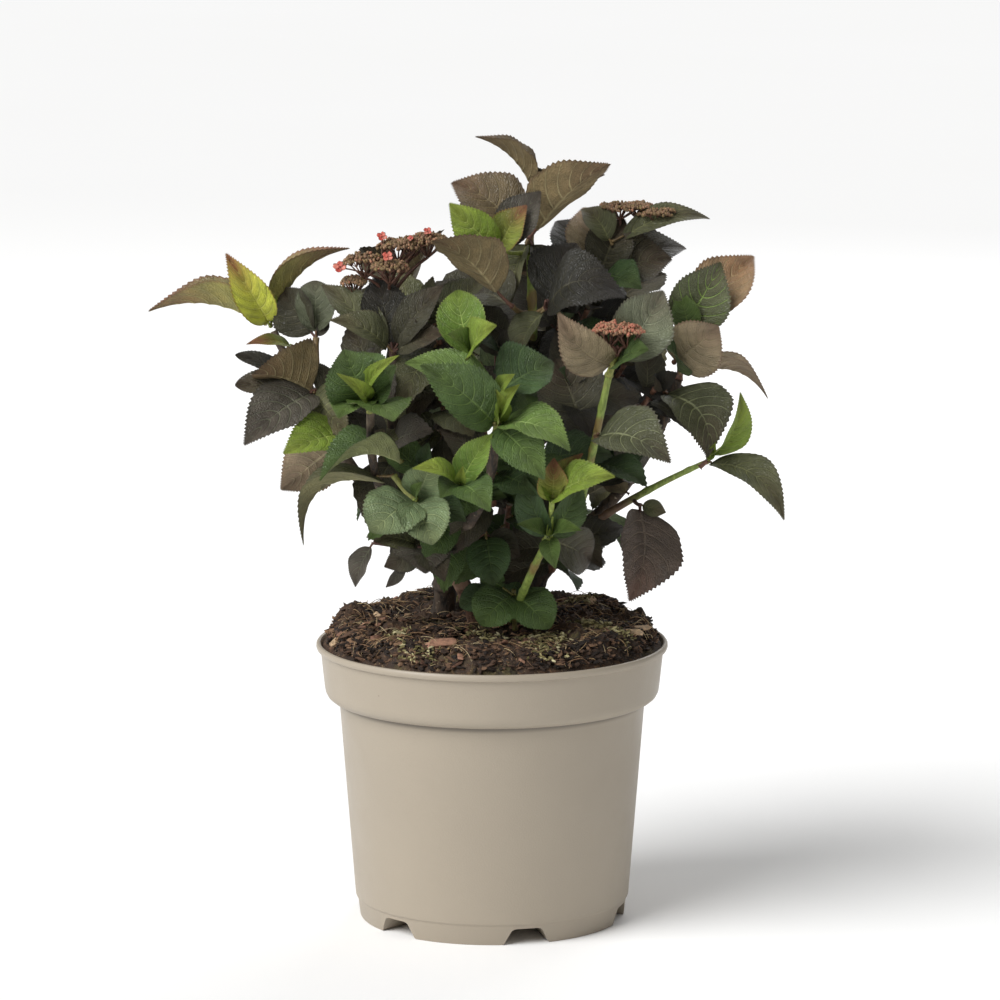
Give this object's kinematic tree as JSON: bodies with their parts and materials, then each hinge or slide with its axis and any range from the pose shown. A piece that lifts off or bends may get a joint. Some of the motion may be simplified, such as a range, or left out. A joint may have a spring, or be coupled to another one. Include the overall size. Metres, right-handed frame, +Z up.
{
  "type": "hydrangea shrub in nursery pot",
  "caption": "Young hydrangea shrub in a round taupe plastic nursery pot, with spreading leafy boughs and spent flower heads.",
  "frame": {"origin": "centre of the pot's flat underside, at ground level", "axes": "+Z up, +X to the plant's right seen from the front, -Y towards the front of the plant"},
  "size_m": [0.412, 0.3104, 0.5163],
  "materials": {
    "pot_plastic": "moulded taupe plastic with a soft sheen",
    "soil": "dark brown peat and fine bark, dry on top, with some moss",
    "woody_stem": "thin brown bark with fine cracks",
    "green_stem": "smooth young stem, green to olive",
    "leaf_dusk": "dark purple-brown leaves, satin, veined",
    "leaf_bronze": "olive and bronze leaves, satin, veined",
    "leaf_green": "mid to dark green leaves, satin, veined",
    "leaf_lime": "young yellow-green leaves, satin, veined",
    "flower_head": "dry brown buds with a few dull red sepals"
  },
  "bodies": {
    "root": {"pot": "pot_plastic", "root_ball_soil": "soil", "stem_left": "woody_stem", "stem_front": "woody_stem", "stem_back": "woody_stem", "stem_right": "woody_stem", "green_shoot": "green_stem", "bough_left": "woody_stem", "bough_far_left": "woody_stem", "bough_left_head": "woody_stem", "bough_front_left": "woody_stem", "bough_green_left": "woody_stem", "bough_centre": "woody_stem", "bough_summit": "woody_stem", "bough_top_right": "woody_stem", "bough_right": "green_stem", "bough_right_crest": "woody_stem", "bough_right_head": "green_stem", "bough_back_left": "woody_stem", "bough_back_right": "woody_stem", "flower_head_left": "flower_head", "flower_head_right": "flower_head", "flower_head_small": "flower_head", "leaves_summit": "leaf_bronze", "leaves_far_left": "leaf_bronze", "leaves_left": "leaf_dusk", "leaves_left_low": "leaf_lime", "leaves_left_drop": "leaf_bronze", "leaves_far_right": "leaf_green", "leaves_right_crest": "leaf_bronze", "leaves_top_right": "leaf_dusk", "leaves_left_head": "leaf_dusk", "leaves_right_head": "leaf_bronze", "leaves_green_left": "leaf_green", "leaves_lit_pair": "leaf_lime", "leaves_centre": "leaf_green", "leaves_front_left": "leaf_green", "leaves_low_left": "leaf_dusk", "leaves_lime_left": "leaf_lime", "leaves_lime_right": "leaf_lime", "leaves_right_veined": "leaf_bronze", "leaves_right_drop": "leaf_dusk", "leaves_foot": "leaf_green", "leaves_inner_left": "leaf_dusk", "leaves_inner_right": "leaf_dusk", "leaves_inner_low": "leaf_dusk", "leaves_inner_top": "leaf_dusk", "leaves_back_left": "leaf_dusk", "leaves_back_right": "leaf_bronze", "leaves_back_middle": "leaf_green", "leaves_back_low_left": "leaf_green", "leaves_back_low_right": "leaf_dusk"}
  },
  "joints": []
}
